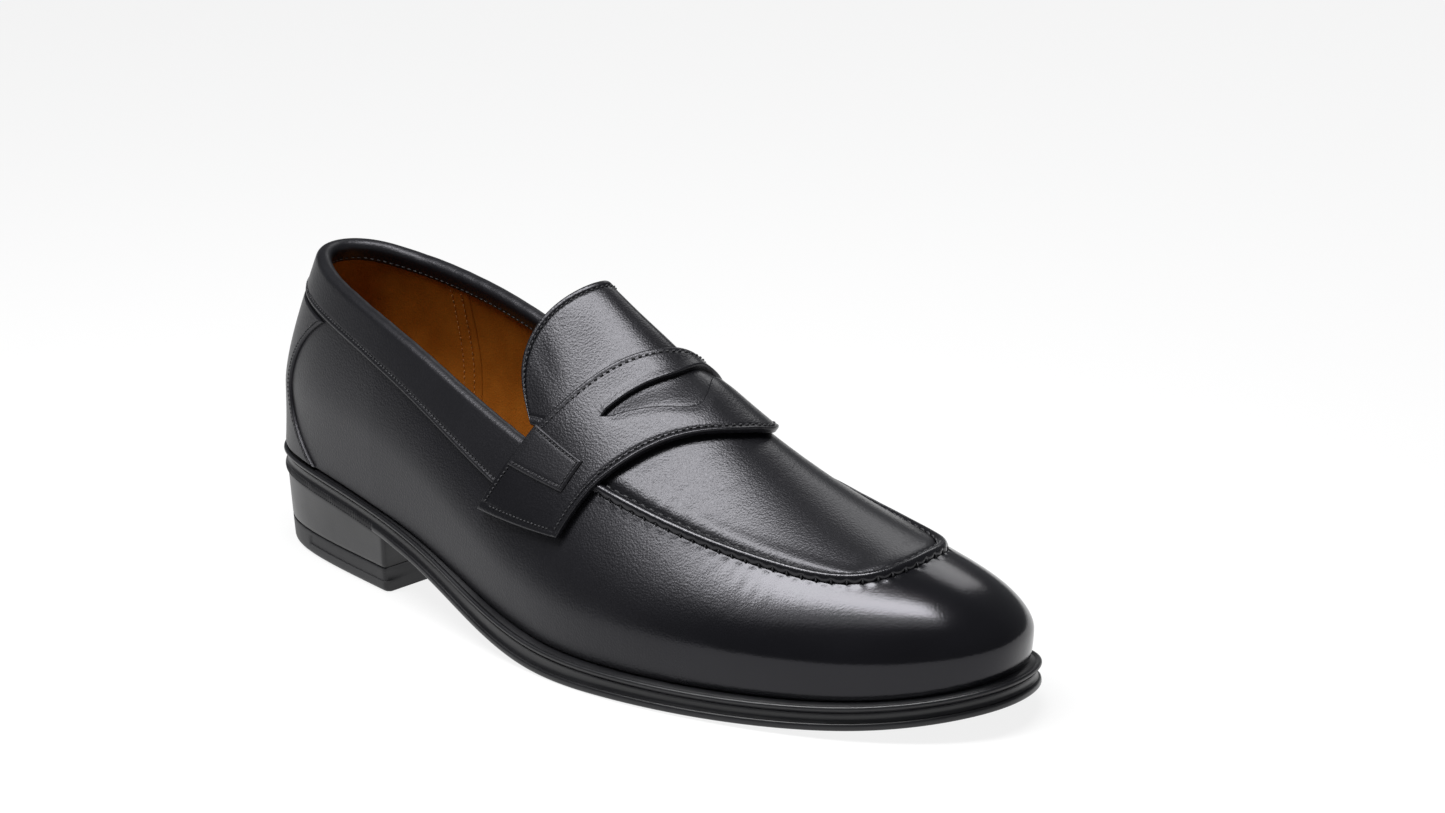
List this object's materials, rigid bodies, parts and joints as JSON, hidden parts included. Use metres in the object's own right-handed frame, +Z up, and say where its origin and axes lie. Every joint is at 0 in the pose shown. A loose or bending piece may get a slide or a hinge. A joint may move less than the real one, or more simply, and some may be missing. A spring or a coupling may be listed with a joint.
{
  "type": "penny loafer",
  "caption": "Slip-on penny loafer for the right foot: moccasin apron with raised seam, saddle strap with slot, hinged tongue flap, rolled collar, low block heel.",
  "frame": {"origin": "middle of the bounding rectangle of the footprint, on the ground", "axes": "+X from heel to toe, +Y towards the inner (medial) side of this right shoe, +Z up"},
  "size_m": [0.3031, 0.1057, 0.1083],
  "materials": {
    "black_leather": "smooth, semi-gloss",
    "tan_leather": "matte lining leather",
    "rubber": "satin moulded rubber",
    "steel": "plain",
    "cork": "cork granulate",
    "board": "fibre board",
    "foam": "soft foam",
    "stiffener": "pressed fibre"
  },
  "bodies": {
    "shoe": {"outsole": "rubber", "midsole": "rubber", "welt": "rubber", "heel_block": "rubber", "heel_top_lift": "rubber", "heel_nail_1": "steel", "heel_nail_2": "steel", "heel_nail_3": "steel", "heel_nail_4": "steel", "shank": "steel", "bottom_filler": "cork", "insole_board": "board", "footbed_foam": "foam", "sock_liner": "tan_leather", "side_wall": "black_leather", "backstay": "black_leather", "heel_counter": "stiffener", "toe_puff": "stiffener", "collar": "black_leather", "collar_cord": "foam", "moc_seam": "black_leather", "apron": "black_leather", "apron_lining": "tan_leather", "saddle_strap": "black_leather", "strap_backing": "black_leather", "strap_tab_outer": "black_leather", "strap_tab_inner": "black_leather", "tongue_root": "black_leather", "heel_lining": "tan_leather", "quarter_lining_outer": "tan_leather", "quarter_lining_inner": "tan_leather", "vamp_lining": "tan_leather"},
    "tongue_flap": {"tongue": "black_leather", "tongue_lining": "tan_leather"}
  },
  "joints": [
    {"name": "tongue_fold", "type": "hinge", "parent": "shoe", "child": "tongue_flap", "pos_m": [0.0195, 0, 0.0935], "axis": [0, 1, 0], "range_deg": [0, 25], "stiffness_Nm_per_rad": 0.02}
  ]
}
